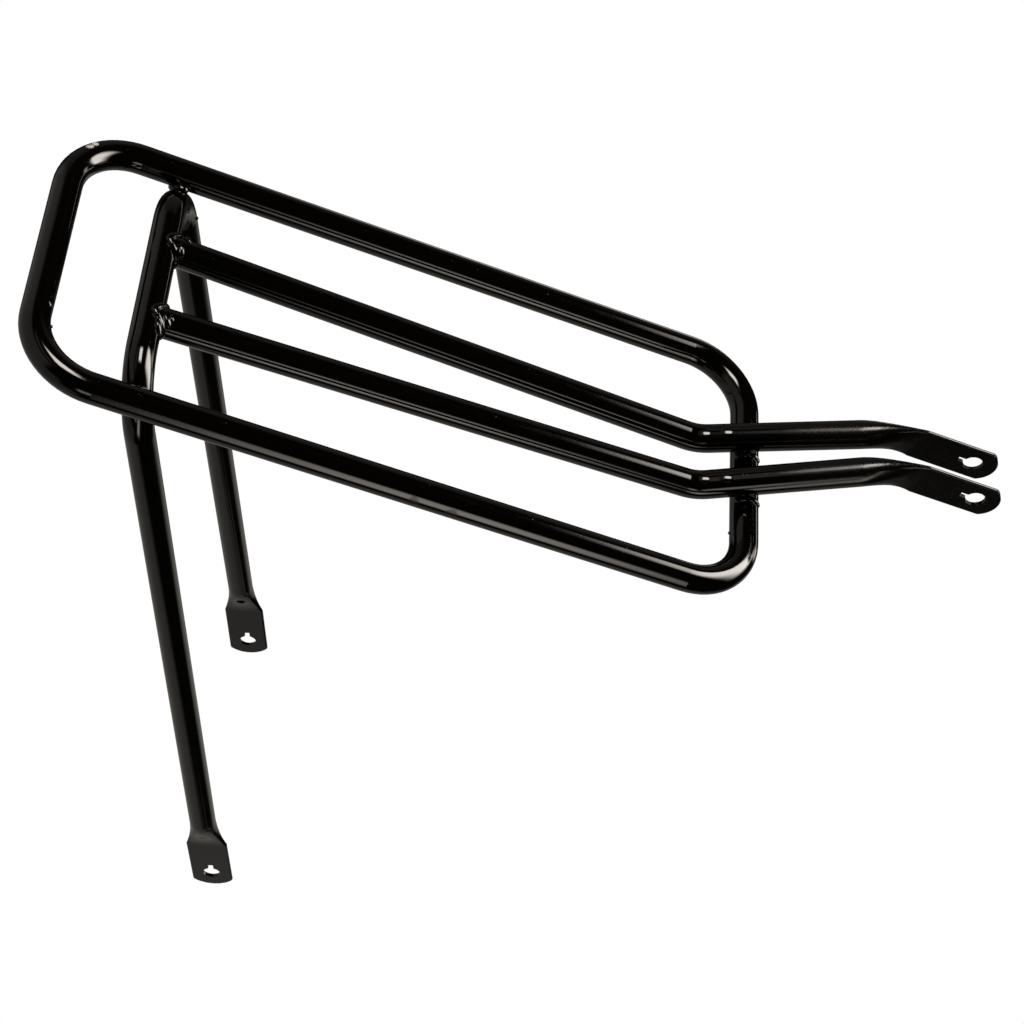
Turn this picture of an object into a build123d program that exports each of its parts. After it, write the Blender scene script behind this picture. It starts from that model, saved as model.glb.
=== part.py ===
from build123d import *
import math
import os

# Luggage carrier for the back of a bicycle: four bent steel tubes, welded together.
# Millimetres. +X points forward to the saddle, +Y to the rider's left, +Z up.
# The origin is on the wheel axle, midway between the two leg tabs.

# Tube stock
TUBE_D = 16.0
TUBE_WALL = 1.2

# Platform hoop, measured over the tube
PLATFORM_LENGTH = 412.0
PLATFORM_WIDTH = 176.0
HOOP_BEND_R = 35.0
PLATFORM_HEIGHT = 415.0
AXLE_FROM_REAR = 234.0

# Bow: the crossbar and both legs
CROSSBAR_INSET = 55.0
BOW_BEND_R = 32.0
LEG_TAB_SPACING = 180.0

# Rails, which run on as stays to the seat cluster
RAIL_SPACING_REAR = 50.0
RAIL_SPACING_FRONT = 33.0
STAY_TAB_SPACING = 25.0
STAY_SLOPE = 33.0
STAY_RISE = 58.0
STAY_REACH = 52.0
ELBOW_R = 22.0

# Tube ends, pressed flat and punched with one keyhole die
LEG_TAB_WIDTH = 25.5
LEG_TAB_END_R = 16.5
STAY_TAB_WIDTH = 23.0
STAY_TAB_END_R = 12.5
HOLE_D = 11.0
HOLE_FROM_END = 14.0
NOTCH_WIDTH = 3.4
NOTCH_LENGTH = 4.0
LEG_FLAT = 49.0
LEG_FLARE = 29.0
STAY_FLARE = 34.0
PRESSED_GAP = 0.4
WIDENING_POWER = 2.0

# Drain hole in each leg, on the wheel side, above the line where the pressing starts
DRAIN_D = 6.0
DRAIN_ABOVE_FLAT = 17.0

# Welds
ROOT_GAP = 0.3
BEAD_R = 3.4
RING_R = 5.0
BEADS_PER_COLLAR = 14

TUBE_R = TUBE_D / 2
BORE_D = TUBE_D - 2 * TUBE_WALL
TAB_THICKNESS = 2 * TUBE_WALL
REAR_X = -AXLE_FROM_REAR
FRONT_X = REAR_X + PLATFORM_LENGTH - TUBE_D
SIDE_Y = (PLATFORM_WIDTH - TUBE_D) / 2
CROSSBAR_X = REAR_X + CROSSBAR_INSET
WELD_DISTANCE = TUBE_D + ROOT_GAP
ACROSS = Vector(0, 1, 0)
FLARE_STEPS = 5
CORNER_PASSES = 8


def rod(path, diameter):
    """Round bar along a path."""
    section = Plane(origin=path @ 0, z_dir=path % 0) * Circle(diameter / 2)
    return sweep(section, path=path)


def mix(start, end, share):
    return start + (end - start) * share


def pressed_section(plane, diameter, width, thickness, share):
    """Tube section on its way from round (share 0) to a flat with round edges (share 1)."""
    radius = diameter / 2
    diagonal = radius * math.sqrt(0.5)
    widened = share**WIDENING_POWER
    closed = share**2 * (3 - 2 * share)
    edge_x = mix(radius, width / 2, widened)
    face_y = mix(radius, thickness / 2, closed)
    x = mix(diagonal, (width - thickness) / 2, widened)
    y = mix(diagonal, thickness / 2, closed)
    right = ThreePointArc((x, -y), (edge_x, 0), (x, y))
    left = ThreePointArc((-x, y), (-edge_x, 0), (-x, -y))
    if share < 1:
        upper = ThreePointArc((x, y), (0, face_y), (-x, y))
        lower = ThreePointArc((-x, -y), (0, -face_y), (x, -y))
    else:
        upper = Line((x, y), (-x, y))
        lower = Line((-x, -y), (x, -y))
    return plane * make_face([right, upper, left, lower])


def flare(bend, diameter, width, thickness):
    """Stretch of tube that is pressed from round to flat along a bend."""
    sections = []
    for step in range(FLARE_STEPS):
        share = step / (FLARE_STEPS - 1)
        along = bend % share
        plane = Plane(origin=bend @ share, x_dir=ACROSS.cross(along), z_dir=along)
        sections.append(pressed_section(plane, diameter, width, thickness, share))
    return loft(sections)


def tab(bend, length, width, tip_r):
    """Flat end beyond a bend, with its rounded tip and keyhole."""
    along = bend % 1
    plane = Plane(origin=bend @ 1, x_dir=ACROSS.cross(along), z_dir=along)
    section = pressed_section(plane, TUBE_D, width, TAB_THICKNESS, 1)
    strip = extrude(section, amount=length, dir=along)
    hole = Plane(origin=bend @ 1 + along * (length - HOLE_FROM_END), x_dir=along, z_dir=ACROSS)
    shoulder = HOLE_FROM_END - tip_r
    outline = Pos(shoulder) * Circle(tip_r)
    outline += Pos(shoulder) * Rectangle(length, 2 * tip_r, align=(Align.MAX, Align.CENTER))
    outline -= Circle(HOLE_D / 2)
    outline -= Rectangle(HOLE_D / 2 + NOTCH_LENGTH, NOTCH_WIDTH, align=(Align.MAX, Align.CENTER))
    return strip & extrude(hole * outline, amount=TUBE_D, both=True)


def press_bend(before, corner, after, length):
    """Bend at a corner, rounded over the given length of tube."""
    start = corner + (before - corner).normalized() * (length / 2)
    end = corner + (after - corner).normalized() * (length / 2)
    return Bezier(start, corner, end)


def pressed_end(bend, length, width, tip_r):
    return flare(bend, TUBE_D, width, TAB_THICKNESS) + tab(bend, length, width, tip_r)


def pressed_bore(bend, width):
    return flare(bend, BORE_D, width - TAB_THICKNESS, PRESSED_GAP)


def hoop_path():
    middle = Pos((REAR_X + FRONT_X) / 2, 0, PLATFORM_HEIGHT)
    return (middle * RectangleRounded(FRONT_X - REAR_X, 2 * SIDE_Y, HOOP_BEND_R)).wire()


def outer_hoop():
    return rod(hoop_path(), TUBE_D) - rod(hoop_path(), BORE_D)


def leg_direction():
    """Down a leg, as seen from the side."""
    return Vector(-CROSSBAR_X, 0, -PLATFORM_HEIGHT).normalized()


def leg_bend_corner():
    """Middle of the left leg's pressed bend, in the plane of its tab."""
    above_hole = LEG_FLAT - HOLE_FROM_END + LEG_FLARE / 2
    return Vector(0, LEG_TAB_SPACING / 2, 0) - leg_direction() * above_hole


def shoulder_reach():
    """Bow bend's start to the hoop side, across the carrier, when bend and side are a weld apart."""
    reaches = []
    for degree in range(90):
        turn = math.radians(degree)
        drop = -leg_direction().Z * BOW_BEND_R * (1 - math.cos(turn))
        if drop < WELD_DISTANCE:
            reaches.append((BOW_BEND_R * math.sin(turn) + math.sqrt(WELD_DISTANCE**2 - drop**2), degree))
    return max(reaches)


def bow_corner():
    """Where the crossbar's line meets the left leg's line."""
    reach = shoulder_reach()[0]
    corner = Vector(CROSSBAR_X, SIDE_Y, PLATFORM_HEIGHT)
    for _ in range(CORNER_PASSES):
        turn = (leg_bend_corner() - corner).get_angle(ACROSS)
        corner.Y = SIDE_Y + BOW_BEND_R * math.tan(math.radians(turn / 2)) - reach
    return corner


def to_right(point):
    return Vector(point.X, -point.Y, point.Z)


def bow_bend():
    """Pressed bend of the left leg."""
    corner = leg_bend_corner()
    return press_bend(bow_corner(), corner, corner + leg_direction(), LEG_FLARE)


def bow_path():
    """Round stretch of the bow, from one pressed bend to the other."""
    foot = bow_bend() @ 0
    corner = bow_corner()
    return FilletPolyline(foot, corner, to_right(corner), to_right(foot), radius=BOW_BEND_R)


def bow_drain():
    """Drill for the left leg's drain hole, from the wheel side to the middle of the tube."""
    middle = bow_bend() @ 1 - leg_direction() * DRAIN_ABOVE_FLAT
    drill = Cylinder(DRAIN_D / 2, TUBE_D, align=(Align.CENTER, Align.CENTER, Align.MIN))
    return Pos(middle) * Rot(X=90) * drill


def leg_bow():
    left_end = pressed_end(bow_bend(), LEG_FLAT, LEG_TAB_WIDTH, LEG_TAB_END_R)
    left_bore = pressed_bore(bow_bend(), LEG_TAB_WIDTH) + bow_drain()
    bow = rod(bow_path(), TUBE_D) + left_end + mirror(left_end, about=Plane.XZ)
    return bow - rod(bow_path(), BORE_D) - left_bore - mirror(left_bore, about=Plane.XZ)


def rail_points():
    """Left rail's corners: on the crossbar, at the elbow, at the stay's bend and at its bolt hole."""
    slope = math.radians(STAY_SLOPE)
    elbow_x = FRONT_X - WELD_DISTANCE / math.sin(slope)
    bend_x = elbow_x + STAY_RISE / math.tan(slope)
    return [
        Vector(CROSSBAR_X, RAIL_SPACING_REAR / 2, PLATFORM_HEIGHT),
        Vector(elbow_x, RAIL_SPACING_FRONT / 2, PLATFORM_HEIGHT),
        Vector(bend_x, STAY_TAB_SPACING / 2, PLATFORM_HEIGHT + STAY_RISE),
        Vector(bend_x + STAY_REACH, STAY_TAB_SPACING / 2, PLATFORM_HEIGHT + STAY_RISE),
    ]


def rail_bend():
    """Pressed bend at the upper end of the left stay."""
    return press_bend(*rail_points()[1:], STAY_FLARE)


def rail_path():
    """Round stretch of the left rail, from the crossbar's middle to the pressed bend."""
    start, elbow = rail_points()[:2]
    return FilletPolyline(start, elbow, rail_bend() @ 0, radius=ELBOW_R)


def crossbar_cope():
    """Crossbar grown by the root gap, which shapes the rails' rear ends."""
    line = Plane(origin=(CROSSBAR_X, 0, PLATFORM_HEIGHT), z_dir=ACROSS)
    return line * Cylinder(WELD_DISTANCE - TUBE_R, RAIL_SPACING_REAR + 2 * TUBE_D)


def left_rail():
    stay_flat = STAY_REACH - STAY_FLARE / 2 + HOLE_FROM_END
    rail = rod(rail_path(), TUBE_D)
    rail += pressed_end(rail_bend(), stay_flat, STAY_TAB_WIDTH, STAY_TAB_END_R)
    bore = rod(rail_path(), BORE_D) + pressed_bore(rail_bend(), STAY_TAB_WIDTH)
    return rail - bore - crossbar_cope()


def beads(points):
    return Part() + [Pos(point) * Sphere(BEAD_R) for point in points]


def weld_ring(start, end):
    """Bead round the spot midway between two crossing tubes."""
    return Plane(origin=(start + end) / 2, z_dir=end - start) * Torus(RING_R, BEAD_R)


def rail_rear_weld():
    """Beads along the saddle line where the left rail butts against the crossbar."""
    start, elbow = rail_points()[:2]
    points = []
    for bead in range(BEADS_PER_COLLAR):
        turn = math.pi * (2 * bead + 1) / BEADS_PER_COLLAR
        out = Vector(0, math.cos(turn), math.sin(turn))
        ahead = TUBE_R * abs(math.cos(turn)) + BEAD_R / 2
        points.append(start + (elbow - start).normalized() * ahead + out * TUBE_R)
    return beads(points) - rod(rail_path(), TUBE_D) - rod(bow_path(), TUBE_D)


def rail_front_weld():
    """Bead where the left stay passes over the hoop's front tube."""
    _, elbow, bend, _ = rail_points()
    share = WELD_DISTANCE * math.cos(math.radians(STAY_SLOPE)) / STAY_RISE
    stay = mix(elbow, bend, share)
    front = Vector(FRONT_X, stay.Y, PLATFORM_HEIGHT)
    return weld_ring(front, stay) - rod(rail_path(), TUBE_D) - rod(hoop_path(), TUBE_D)


def bow_weld():
    """Bead where the bow's left shoulder nests under the hoop's side."""
    reach, degree = shoulder_reach()
    turn = math.radians(degree)
    down = leg_direction() * (BOW_BEND_R * (1 - math.cos(turn)))
    shoulder = Vector(CROSSBAR_X, SIDE_Y - reach + BOW_BEND_R * math.sin(turn), PLATFORM_HEIGHT) + down
    side = Vector(shoulder.X, SIDE_Y, PLATFORM_HEIGHT)
    return weld_ring(shoulder, side) - rod(bow_path(), TUBE_D) - rod(hoop_path(), TUBE_D)


def main():
    os.makedirs("parts", exist_ok=True)
    nodes = {"outer_hoop": outer_hoop(), "leg_bow": leg_bow()}
    sided = {
        "rail": left_rail(),
        "rail_rear_weld": rail_rear_weld(),
        "rail_front_weld": rail_front_weld(),
        "bow_weld": bow_weld(),
    }
    for name, piece in sided.items():
        nodes["left_" + name] = piece
        nodes["right_" + name] = mirror(piece, about=Plane.XZ)
    for name, piece in nodes.items():
        export_step(piece, f"parts/{name}.step")


main()
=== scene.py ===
import math

import bmesh
import bpy
from mathutils import Matrix, Vector


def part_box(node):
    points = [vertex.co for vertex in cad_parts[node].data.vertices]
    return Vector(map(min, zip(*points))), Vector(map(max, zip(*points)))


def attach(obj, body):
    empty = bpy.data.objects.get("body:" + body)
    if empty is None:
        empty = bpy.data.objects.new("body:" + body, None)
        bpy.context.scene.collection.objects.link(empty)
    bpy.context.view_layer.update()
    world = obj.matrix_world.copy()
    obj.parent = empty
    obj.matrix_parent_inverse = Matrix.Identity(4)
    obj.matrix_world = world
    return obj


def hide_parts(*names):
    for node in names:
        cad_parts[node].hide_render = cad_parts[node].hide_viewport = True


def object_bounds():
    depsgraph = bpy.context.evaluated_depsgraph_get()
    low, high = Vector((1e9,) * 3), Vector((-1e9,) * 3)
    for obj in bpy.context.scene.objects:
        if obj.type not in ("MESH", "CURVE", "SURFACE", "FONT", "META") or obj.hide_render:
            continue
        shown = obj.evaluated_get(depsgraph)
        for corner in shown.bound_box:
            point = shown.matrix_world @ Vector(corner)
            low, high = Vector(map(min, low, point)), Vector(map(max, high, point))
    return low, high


# Looks of a welded luggage carrier for the back of a bicycle, in gloss black paint.
# Metres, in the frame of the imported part: +X forward, +Y to the far side of the photo, +Z up.

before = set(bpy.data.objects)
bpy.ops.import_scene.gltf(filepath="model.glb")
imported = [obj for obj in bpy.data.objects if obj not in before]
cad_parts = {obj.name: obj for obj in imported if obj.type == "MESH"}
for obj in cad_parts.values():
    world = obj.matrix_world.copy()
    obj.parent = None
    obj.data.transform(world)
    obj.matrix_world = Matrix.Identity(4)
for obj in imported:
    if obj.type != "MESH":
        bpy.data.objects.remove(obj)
CAD_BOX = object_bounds()
MM = 0.001

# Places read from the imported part
HOOP_LOW, HOOP_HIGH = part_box("outer_hoop")
TUBE_R = (HOOP_HIGH.z - HOOP_LOW.z) / 2
DECK_Z = (HOOP_HIGH.z + HOOP_LOW.z) / 2
SIDE_Y = HOOP_HIGH.y - TUBE_R
FRONT_X = HOOP_HIGH.x - TUBE_R
REAR_X = HOOP_LOW.x + TUBE_R
CROSSBAR_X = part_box("leg_bow")[0].x + TUBE_R
FLOOR_Z = CAD_BOX[0][2]

# Camera at the photo's angle
CAMERA_PLACE = Vector((-0.3296, -0.8423, 1.3465))
CAMERA_AIM = Vector((0.0664, 0.0123, 0.3107))
CAMERA_ROLL = math.radians(36.597)
CAMERA_LENS = 85.26
SENSOR_WIDTH = 36.0

# Stage
FLOOR_SIZE = 8.0
WHITE = (1.0, 1.0, 1.0, 1.0)
WARM = (1.07, 1.0, 0.92, 1.0)
ROOM_GLOW = 0.012

# Soft light in the room: the angle used, its range, the range of height, both softnesses and the
# radiance. Degrees. "ahead" is 0 along +X and "behind" is 0 along -X, and both are 90 along +Y.
GLOWS = (
    ("ahead", (-200, 200), (-90, -47), (6, 6), 0.26),
    ("behind", (-35, 55), (-45, 42), (7, 7), 0.28),
    ("behind", (-58, -35), (-45, 2), (8, 8), 0.22),
    ("behind", (-80, -58), (-45, -24), (8, 8), 0.25),
    ("ahead", (62, 125), (-10, 38), (8, 8), 0.1),
    ("ahead", (-80, -69), (-24, 12), (5, 8), 3.6),
    ("behind", (-92, -80), (-5, 10), (3, 4), 2.0),
    ("ahead", (24, 31), (-12, 20), (3, 4), 2.6),
    ("ahead", (29, 40), (-3, 1), (1, 2), 3.0),
    ("ahead", (66, 80), (-12, 0), (4, 4), 2.2),
    ("ahead", (-48, -34), (-46, -42), (4, 2), 0.2),
    ("ahead", (-34, 8), (-41, -37), (4, 2), 0.24),
    ("ahead", (8, 50), (-46, -27), (9, 4), 0.36),
    ("behind", (-30, 30), (51, 55), (10, 2), 0.5),
)

# Soft boxes: sheets of light with their corners, radiance and fading rims.
# The one ahead stands across +X and has a slanted far edge. The one above lies flat.
FRONT_BOX_CORNERS = [(0.66, y, z) for y, z in ((-0.6, 0.3), (1.2, 0.3), (1.2, 2.4), (-0.6, 2.4))]
FRONT_BOX_RADIANCE = 14.0
FRONT_BOX_RIMS = {"y": ((-0.25, 0.12), (0.42, 0.86)), "z": ((0.49, 0.7), (1.38, 2.3))}
FRONT_BOX_SLANT = 0.49
FRONT_BOX_SLANTED_RIM = (-0.18, -0.05)
TOP_BOX_CORNERS = [(x, y, 1.95) for x, y in ((-0.9, -0.3), (-0.1, -0.3), (-0.1, 0.6), (-0.9, 0.6))]
TOP_BOX_RADIANCE = 15.0
TOP_BOX_RIMS = {"x": ((-0.82, -0.66), (-0.34, -0.16)), "y": ((-0.24, -0.04), (0.34, 0.54))}

# Paint: its colour, patches of a slightly different roughness, orange peel and grit.
# A range is the part of a noise's values that is used.
BLACK = (0.0004, 0.00018, 0.00006, 1.0)
PATCH_SIZE = 18 * MM
PATCH_DETAIL = 4.0
PATCH_RANGE = (0.35, 0.7)
PATCH_ROUGHNESS = (0.06, 0.09)
PEEL_SIZE = 1.6 * MM
PEEL_HEIGHT = 0.007 * MM
GRIT_SIZE = 1.1 * MM
GRIT_RANGE = (0.83, 0.9)
GRIT_HEIGHT = 0.02 * MM
WELD_LUMP_SIZE = 2.2 * MM
WELD_LUMP_HEIGHT = 0.012 * MM

# Dust in the paint of the stays, past the front tube
DUST_FROM_X = (FRONT_X - 15 * MM, FRONT_X + 25 * MM)
DUST_SIZE = 1.3 * MM
DUST_RANGE = (0.35, 0.65)
DUST_ROUGHNESS = (0.2, 0.25)

# Wear on the hoop, each mark with its middle and radius: a chip down to the primer at the far rear
# corner, and scuffs on the near side. A mark's edge is ragged by a share of its radius, and soft
# outside its core.
CHIPS = (
    (Vector((-0.2283, 0.0703, 0.422)), 2.9 * MM),
    (Vector((-0.2258, 0.0736, 0.4218)), 2.5 * MM),
)
CHIP_COLOUR = (0.5, 0.48, 0.45, 1.0)
CHIP_ROUGHNESS = 0.6
SCUFFS = [(Vector((x, -SIDE_Y - TUBE_R, DECK_Z)), 5 * MM) for x in (-0.028, -0.008)]
SCUFF_ROUGHNESS = 0.28
MARK_RANGE = (0.3, 0.7)
MARK_RAGGED = 0.25
MARK_CORE = 0.5

# Lumps of weld metal and paint: how fine the balls are, and the grain and smoothing of the melted skin
BALL_SUBDIVISIONS = 3
MELT_GRAIN = 0.3 * MM
MELT_PASSES = 8

# Welds at the rails' rear ends: strands of metal, each with its start, middle, end and radius.
# Millimetres from the point where the axes of rail and crossbar cross.
REAR_STRANDS = {
    "left": (
        ((6.5, -3.2, 7.4), (7.6, -6.0, 5.3), (8.5, -7.6, 2.5), 2.0),
        ((8.0, -1.2, 7.9), (9.0, -4.6, 6.6), (10.0, -6.9, 4.1), 1.5),
        ((12.0, 2.1, 7.9), (10.8, 4.0, 7.2), (9.5, 5.6, 6.4), 1.6),
    ),
    "right": (
        ((3.2, -5.5, 7.4), (4.6, -9.0, 6.6), (6.3, -12.5, 5.0), 1.9),
        ((6.6, -1.8, 7.9), (9.1, -4.6, 6.6), (10.6, -6.6, 4.6), 1.6),
        ((10.3, -0.7, 8.0), (10.6, -2.6, 7.6), (10.8, -4.0, 6.9), 1.4),
    ),
}
STRAND_BALLS = 24
STRAND_END = 0.6
COLLAR_BALLS = 60
COLLAR_R = 2.1 * MM
SADDLE_ROUNDING = 0.02

# Welds over the front tube and between bow and hoop
CROOK_REACH = (math.radians(-52), math.radians(42))
CROOK_BALLS = 30
CROOK_R = 2.0 * MM
CROOK_SUNK = 0.6 * MM
CROOK_BESIDE = 4.4 * MM
CROOK_WIDENING = 2.4 * MM
CROOK_WAVE = 0.1
CROOK_WAVES = 9
NECK_REACH = (math.radians(175), math.radians(365))
NECK_BALLS = 30
NECK_R = 2.6 * MM
NECK_OFFSET = 5 * MM

# Paint that ran and dried: a point of the tube's axis, the way out of the tube and the drop's radius
DRIPS = {
    "hoop_rear_drip": (Vector((REAR_X + 2 * MM, -0.0562, DECK_Z)), Vector((0.78, 0.27, 0.56)), 1.0 * MM),
    "hoop_front_drip": (Vector((FRONT_X, -0.04, DECK_Z)), Vector((-0.98, 0, -0.21)), 0.9 * MM),
    "leg_drip": (Vector((-0.168, 0.075, 0.3893)), Vector((0.92, -0.12, 0.38)), 1.2 * MM),
}

# Thick run of paint on the rear tube: its middle, the ways along and out, and its half sizes
RUN_MIDDLE = Vector((-0.2284, -0.0394, 0.4208))
RUN_ALONG = Vector((0, 1, 0))
RUN_OUT = Vector((0.7, 0, 0.72))
RUN_SIZES = (3.5 * MM, 0.55 * MM, 2.0 * MM)

# Wrinkles that bending left on the stays past the elbows: the middle and the way out.
# Each lies a little flatter than the stay, so that it mirrors the box above.
WRINKLE_SIZES = (4.0 * MM, 0.5 * MM, 2.2 * MM)
WRINKLE_DIRECTION = Vector((0.893, 0, 0.449))
WRINKLES = {
    "left_rail_wrinkle_1": (Vector((0.1327, 0.0137, 0.4245)), Vector((-0.43, -0.29, 0.855))),
    "left_rail_wrinkle_2": (Vector((0.143, 0.0135, 0.4312)), Vector((-0.43, -0.3, 0.85))),
    "right_rail_wrinkle_1": (Vector((0.1327, -0.0187, 0.4244)), Vector((-0.42, -0.34, 0.84))),
    "right_rail_wrinkle_2": (Vector((0.143, -0.0188, 0.431)), Vector((-0.42, -0.36, 0.835))),
}


def node_tree(material):
    material.use_nodes = True
    material.node_tree.nodes.clear()
    return material.node_tree


def add_node(tree, kind, **values):
    node = tree.nodes.new(kind)
    for name, value in values.items():
        setattr(node, name, value)
    return node


def noise(tree, place, size, detail=2.0):
    node = add_node(tree, "ShaderNodeTexNoise")
    node.inputs["Scale"].default_value = 1 / size
    node.inputs["Detail"].default_value = detail
    tree.links.new(place, node.inputs["Vector"])
    return node.outputs["Fac"]


def ramp(tree, value, low, high, low_out=0.0, high_out=1.0):
    node = add_node(tree, "ShaderNodeMapRange", interpolation_type="SMOOTHSTEP")
    for name, number in (("From Min", low), ("From Max", high), ("To Min", low_out), ("To Max", high_out)):
        node.inputs[name].default_value = number
    tree.links.new(value, node.inputs["Value"])
    return node.outputs["Result"]


def calculate(tree, operation, first, second=None):
    """Math node. Each value is a number or another node's output."""
    node = add_node(tree, "ShaderNodeMath", operation=operation)
    for socket, value in zip(node.inputs, (first, second)):
        if isinstance(value, (int, float)):
            socket.default_value = value
        elif value is not None:
            tree.links.new(value, socket)
    return node.outputs["Value"]


def multiply(tree, *values):
    product = values[0]
    for value in values[1:]:
        product = calculate(tree, "MULTIPLY", product, value)
    return product


def scene_place(tree):
    """Place in the scene, and its three coordinates."""
    position = add_node(tree, "ShaderNodeNewGeometry").outputs["Position"]
    split = add_node(tree, "ShaderNodeSeparateXYZ")
    tree.links.new(position, split.inputs["Vector"])
    return position, dict(zip("xyz", split.outputs))


def bump(tree, height, distance, below=None):
    node = add_node(tree, "ShaderNodeBump")
    node.inputs["Strength"].default_value = 1.0
    node.inputs["Distance"].default_value = distance
    tree.links.new(height, node.inputs["Height"])
    if below:
        tree.links.new(below, node.inputs["Normal"])
    return node.outputs["Normal"]


def spots(tree, marks):
    """1 within some ragged spots of the scene, given by middle and radius, and 0 elsewhere."""
    position = scene_place(tree)[0]
    total = 0.0
    for middle, radius in marks:
        gap = add_node(tree, "ShaderNodeVectorMath", operation="DISTANCE")
        tree.links.new(position, gap.inputs[0])
        gap.inputs[1].default_value = middle
        shift = MARK_RAGGED * radius
        ragged = ramp(tree, noise(tree, position, 2 * radius, 1.0), *MARK_RANGE, -shift, shift)
        reach = calculate(tree, "ADD", gap.outputs["Value"], ragged)
        total = calculate(tree, "MAXIMUM", total, ramp(tree, reach, MARK_CORE * radius, radius, 1.0, 0.0))
    return total


def add_wear(tree, shader, rough):
    """Puts the chips and the scuffs into a paint."""
    chip = spots(tree, CHIPS)
    colour = add_node(tree, "ShaderNodeValToRGB")
    colour.color_ramp.elements[0].color = BLACK
    colour.color_ramp.elements[1].color = CHIP_COLOUR
    tree.links.new(chip, colour.inputs["Fac"])
    tree.links.new(colour.outputs["Color"], shader.inputs["Base Color"])
    scuffs = multiply(tree, spots(tree, SCUFFS), SCUFF_ROUGHNESS)
    rough = calculate(tree, "MAXIMUM", rough, scuffs)
    rough = calculate(tree, "MAXIMUM", rough, multiply(tree, chip, CHIP_ROUGHNESS))
    tree.links.new(rough, shader.inputs["Roughness"])


def add_dust(tree, shader, rough):
    """Makes a paint rough and grainy where dust settled in it."""
    position, place = scene_place(tree)
    grains = ramp(tree, noise(tree, position, DUST_SIZE), *DUST_RANGE, *DUST_ROUGHNESS)
    dust = multiply(tree, grains, ramp(tree, place["x"], *DUST_FROM_X))
    tree.links.new(calculate(tree, "MAXIMUM", rough, dust), shader.inputs["Roughness"])


def paint(name, lumpy=False, worn=False, dusty=False):
    """Gloss black paint with orange peel, and with grit that settled while it was wet."""
    material = bpy.data.materials.new(name)
    tree = node_tree(material)
    place = add_node(tree, "ShaderNodeTexCoord").outputs["Object"]
    shader = add_node(tree, "ShaderNodeBsdfPrincipled")
    shader.inputs["Base Color"].default_value = BLACK
    patches = noise(tree, place, PATCH_SIZE, PATCH_DETAIL)
    rough = ramp(tree, patches, *PATCH_RANGE, *PATCH_ROUGHNESS)
    tree.links.new(rough, shader.inputs["Roughness"])
    if worn:
        add_wear(tree, shader, rough)
    if dusty:
        add_dust(tree, shader, rough)
    peel = bump(tree, noise(tree, place, PEEL_SIZE), PEEL_HEIGHT)
    grit = ramp(tree, noise(tree, place, GRIT_SIZE, 0.0), *GRIT_RANGE)
    normal = bump(tree, grit, GRIT_HEIGHT, peel)
    if lumpy:
        normal = bump(tree, noise(tree, place, WELD_LUMP_SIZE, 1.0), WELD_LUMP_HEIGHT, normal)
    tree.links.new(normal, shader.inputs["Normal"])
    out = add_node(tree, "ShaderNodeOutputMaterial")
    tree.links.new(shader.outputs["BSDF"], out.inputs["Surface"])
    return material


def window(tree, value, low, high, soft):
    """1 between two limits and 0 outside, with soft edges."""
    rise = ramp(tree, value, low - soft, low + soft)
    fall = ramp(tree, value, high - soft, high + soft, 1.0, 0.0)
    return multiply(tree, rise, fall)


def room_glow(tree):
    """Radiance of the room around the carrier, by direction."""
    split = add_node(tree, "ShaderNodeSeparateXYZ")
    tree.links.new(add_node(tree, "ShaderNodeTexCoord").outputs["Generated"], split.inputs["Vector"])
    x, y, z = split.outputs
    rise = calculate(tree, "ARCSINE", z)
    turns = {
        "ahead": calculate(tree, "ARCTAN2", y, x),
        "behind": calculate(tree, "ARCTAN2", y, calculate(tree, "MULTIPLY", x, -1)),
    }
    total = ROOM_GLOW
    for angle, turn, height, soft, radiance in GLOWS:
        across = window(tree, turns[angle], *[math.radians(limit) for limit in (*turn, soft[0])])
        upright = window(tree, rise, *[math.radians(limit) for limit in (*height, soft[1])])
        total = calculate(tree, "ADD", total, multiply(tree, across, upright, radiance))
    return total


def add_floor():
    """White floor that the paint doesn't mirror: its glow is part of the room's."""
    bpy.ops.mesh.primitive_plane_add(size=FLOOR_SIZE, location=(0, 0, FLOOR_Z))
    floor = bpy.context.object
    floor.name = "floor"
    floor.visible_glossy = False
    floor.visible_diffuse = False
    material = bpy.data.materials.new("floor_white")
    tree = node_tree(material)
    shader = add_node(tree, "ShaderNodeEmission")
    shader.inputs["Color"].default_value = WHITE
    tree.links.new(shader.outputs[0], add_node(tree, "ShaderNodeOutputMaterial").inputs["Surface"])
    floor.data.materials.append(material)


def add_world():
    """Plain white to the camera, and a studio's soft lights in the paint."""
    world = bpy.data.worlds.new("studio")
    bpy.context.scene.world = world
    tree = node_tree(world)
    seen = add_node(tree, "ShaderNodeBackground")
    seen.inputs["Color"].default_value = WHITE
    room = add_node(tree, "ShaderNodeBackground")
    room.inputs["Color"].default_value = WARM
    tree.links.new(room_glow(tree), room.inputs["Strength"])
    mix = add_node(tree, "ShaderNodeMixShader")
    path = add_node(tree, "ShaderNodeLightPath")
    tree.links.new(path.outputs["Is Camera Ray"], mix.inputs["Fac"])
    tree.links.new(room.outputs[0], mix.inputs[1])
    tree.links.new(seen.outputs[0], mix.inputs[2])
    tree.links.new(mix.outputs["Shader"], add_node(tree, "ShaderNodeOutputWorld").inputs["Surface"])


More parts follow.
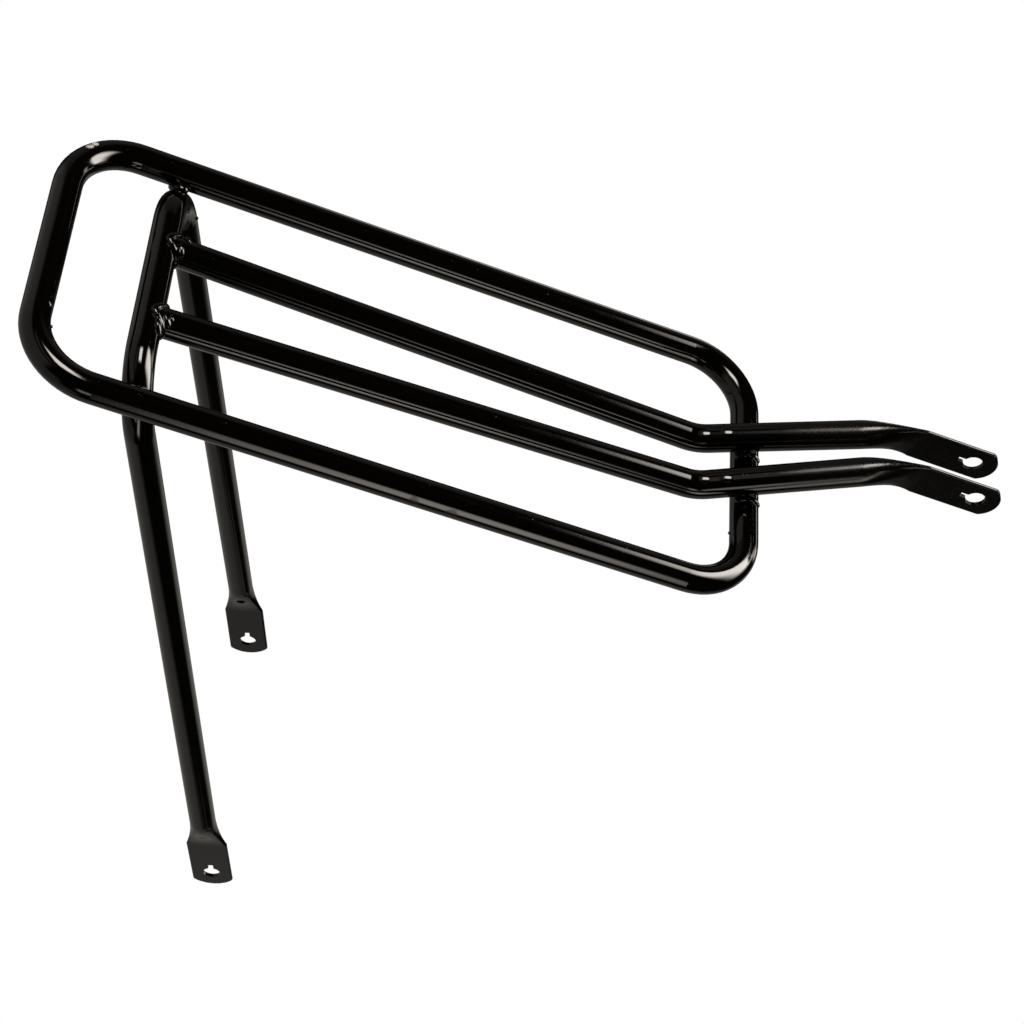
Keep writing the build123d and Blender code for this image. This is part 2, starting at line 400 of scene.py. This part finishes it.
def add_camera():
    camera = bpy.data.objects.new("camera", bpy.data.cameras.new("camera"))
    camera.data.lens = CAMERA_LENS
    camera.data.sensor_width = SENSOR_WIDTH
    back = (CAMERA_PLACE - CAMERA_AIM).normalized()
    level = Vector((0, 0, 1)).cross(back).normalized()
    right = Matrix.Rotation(CAMERA_ROLL, 3, back) @ level
    axes = Matrix((right, back.cross(right), back)).transposed()
    camera.matrix_world = Matrix.Translation(CAMERA_PLACE) @ axes.to_4x4()
    bpy.context.scene.collection.objects.link(camera)
    bpy.context.scene.camera = camera


def rim_glow(tree, rims):
    """Share of light over a sheet, which fades at its rims, and the place on the sheet."""
    place = scene_place(tree)[1]
    share = 1.0
    for axis, (start, end) in rims.items():
        rise = ramp(tree, place[axis], *start)
        share = multiply(tree, share, rise, ramp(tree, place[axis], *end, 1.0, 0.0))
    return share, place


def add_sheet(name, corners, glow):
    """Sheet of light that reflections see and the camera doesn't. Its dark part lets light through."""
    mesh = bpy.data.meshes.new(name)
    mesh.from_pydata(corners, [], [range(len(corners))])
    sheet = bpy.data.objects.new(name, mesh)
    sheet.visible_camera = False
    bpy.context.scene.collection.objects.link(sheet)
    material = bpy.data.materials.new(name + "_glow")
    tree = node_tree(material)
    shine = add_node(tree, "ShaderNodeEmission")
    shine.inputs["Color"].default_value = WARM
    tree.links.new(glow(tree), shine.inputs["Strength"])
    both = add_node(tree, "ShaderNodeAddShader")
    tree.links.new(shine.outputs[0], both.inputs[0])
    tree.links.new(add_node(tree, "ShaderNodeBsdfTransparent").outputs[0], both.inputs[1])
    tree.links.new(both.outputs[0], add_node(tree, "ShaderNodeOutputMaterial").inputs["Surface"])
    mesh.materials.append(material)


def front_box_glow(tree):
    share, place = rim_glow(tree, FRONT_BOX_RIMS)
    slanted = calculate(tree, "SUBTRACT", place["y"], multiply(tree, place["z"], FRONT_BOX_SLANT))
    return multiply(tree, share, ramp(tree, slanted, *FRONT_BOX_SLANTED_RIM, 1.0, 0.0), FRONT_BOX_RADIANCE)


def top_box_glow(tree):
    return multiply(tree, rim_glow(tree, TOP_BOX_RIMS)[0], TOP_BOX_RADIANCE)


def add_lights():
    add_sheet("front_box", FRONT_BOX_CORNERS, front_box_glow)
    add_sheet("top_box", TOP_BOX_CORNERS, top_box_glow)


def melt(piece):
    """Melts the overlapping lumps of a piece into one closed skin."""
    remesh = piece.modifiers.new("melt", "REMESH")
    remesh.mode = "VOXEL"
    remesh.voxel_size = MELT_GRAIN
    remesh.use_smooth_shade = True
    smooth = piece.modifiers.new("smooth", "SMOOTH")
    smooth.iterations = MELT_PASSES
    seen = piece.evaluated_get(bpy.context.evaluated_depsgraph_get())
    skin = bpy.data.meshes.new_from_object(seen)
    piece.modifiers.clear()
    piece.data = skin


def add_lumps(name, lumps):
    """One piece from lumps of metal or paint: the place of a unit ball for each."""
    shape = bmesh.new()
    for lump in lumps:
        bmesh.ops.create_icosphere(shape, subdivisions=BALL_SUBDIVISIONS, radius=1, matrix=lump)
    for face in shape.faces:
        face.smooth = True
    mesh = bpy.data.meshes.new(name)
    shape.to_mesh(mesh)
    shape.free()
    piece = bpy.data.objects.new(name, mesh)
    bpy.context.scene.collection.objects.link(piece)
    return piece


def ball(middle, radius):
    return Matrix.Translation(middle) @ Matrix.Scale(radius, 4)


def long_lump(middle, along, out, sizes):
    """Ball pulled to three half sizes: along, out and across."""
    across = along.cross(out).normalized()
    axes = Matrix((along.normalized(), across.cross(along).normalized(), across)).transposed()
    return Matrix.Translation(middle) @ axes.to_4x4() @ Matrix.Diagonal((*sizes, 1))


def spread(reach, count):
    """Even steps over a range, with both ends."""
    return [reach[0] + (reach[1] - reach[0]) * step / (count - 1) for step in range(count)]


def strand(start, middle, end, radius):
    """Balls along a curve through three points, smaller at its ends."""
    bend = 2 * middle - (start + end) / 2
    lumps = []
    for share in spread((0, 1), STRAND_BALLS):
        point = start * (1 - share) ** 2 + bend * 2 * share * (1 - share) + end * share**2
        lumps.append(ball(point, radius * (STRAND_END + (1 - STRAND_END) * math.sin(math.pi * share))))
    return lumps


def saddle(side, turn):
    """Point of the line where a rail's end meets the crossbar."""
    ahead = TUBE_R * math.sqrt(math.cos(turn) ** 2 + SADDLE_ROUNDING)
    return Vector((CROSSBAR_X + ahead, side + TUBE_R * math.cos(turn), DECK_Z + TUBE_R * math.sin(turn)))


def collar(node, strands):
    """Bead along the saddle line at a rail's rear end, with strands of metal over it."""
    low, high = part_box(node)
    side = (low.y + high.y) / 2
    cross = Vector((CROSSBAR_X, side, DECK_Z))
    lumps = [ball(saddle(side, turn), COLLAR_R) for turn in spread((0, math.tau), COLLAR_BALLS)]
    for *points, radius in strands:
        lumps += strand(*[cross + Vector(point) * MM for point in points], radius * MM)
    return lumps


def crook(node):
    """Bead over the hoop's front tube, along both sides of the stay that rests on it."""
    low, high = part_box(node)
    lumps = []
    for sign in (-1, 1):
        for turn in spread(CROOK_REACH, CROOK_BALLS):
            out = Vector((math.sin(turn), 0, math.cos(turn)))
            beside = (low.y + high.y) / 2 + sign * (CROOK_BESIDE + CROOK_WIDENING * out.x**2)
            middle = Vector((FRONT_X, beside, DECK_Z)) + out * (TUBE_R - CROOK_SUNK)
            wave = CROOK_WAVE * math.sin(CROOK_WAVES * turn + sign)
            lumps.append(ball(middle, CROOK_R * (1 + wave)))
    return lumps


def neck(node, tube_point):
    """Short neck of metal behind the place where two tubes touch. One's axis runs through the point."""
    low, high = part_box(node)
    middle = (low + high) / 2
    normal = (Vector((middle.x, tube_point.y, tube_point.z)) - middle).normalized()
    across = Vector((1, 0, 0)).cross(normal).normalized()
    ahead = normal.cross(across)
    lumps = []
    for turn in spread(NECK_REACH, NECK_BALLS):
        out = across * math.cos(turn) + ahead * math.sin(turn)
        lumps.append(ball(middle + out * NECK_OFFSET, NECK_R))
    return lumps


def add_weld(node, lumps, finish):
    weld = add_lumps(node + "_metal", lumps)
    melt(weld)
    weld.data.materials.append(finish)
    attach(weld, "root")
    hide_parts(node)


def add_welds():
    finish = paint("weld_black", lumpy=True)
    for side, sign in (("left", 1), ("right", -1)):
        node = f"{side}_rail_rear_weld"
        add_weld(node, collar(node, REAR_STRANDS[side]), finish)
        node = f"{side}_rail_front_weld"
        add_weld(node, crook(node), finish)
        node = f"{side}_bow_weld"
        add_weld(node, neck(node, Vector((0, sign * SIDE_Y, DECK_Z))), finish)


def add_paint_lump(name, lump, finish):
    piece = add_lumps(name, [lump])
    piece.data.materials.append(finish)
    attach(piece, "root")


def add_paint_lumps(finish):
    for name, (axis, out, radius) in DRIPS.items():
        add_paint_lump(name, ball(axis + out.normalized() * TUBE_R, radius), finish)
    add_paint_lump("hoop_rear_run", long_lump(RUN_MIDDLE, RUN_ALONG, RUN_OUT, RUN_SIZES), finish)
    for name, (middle, out) in WRINKLES.items():
        add_paint_lump(name, long_lump(middle, WRINKLE_DIRECTION, out, WRINKLE_SIZES), finish)


def paint_tubes():
    plain = paint("bow_black")
    dusty = paint("rail_black", dusty=True)
    worn = paint("hoop_black", worn=True)
    finishes = {"outer_hoop": worn, "leg_bow": plain, "left_rail": dusty, "right_rail": dusty}
    for node, material in finishes.items():
        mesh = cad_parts[node].data
        mesh.materials.clear()
        mesh.materials.append(material)
    add_paint_lumps(plain)


bpy.context.scene.view_settings.view_transform = "Standard"
add_world()
add_floor()
add_camera()
add_lights()
paint_tubes()
add_welds()
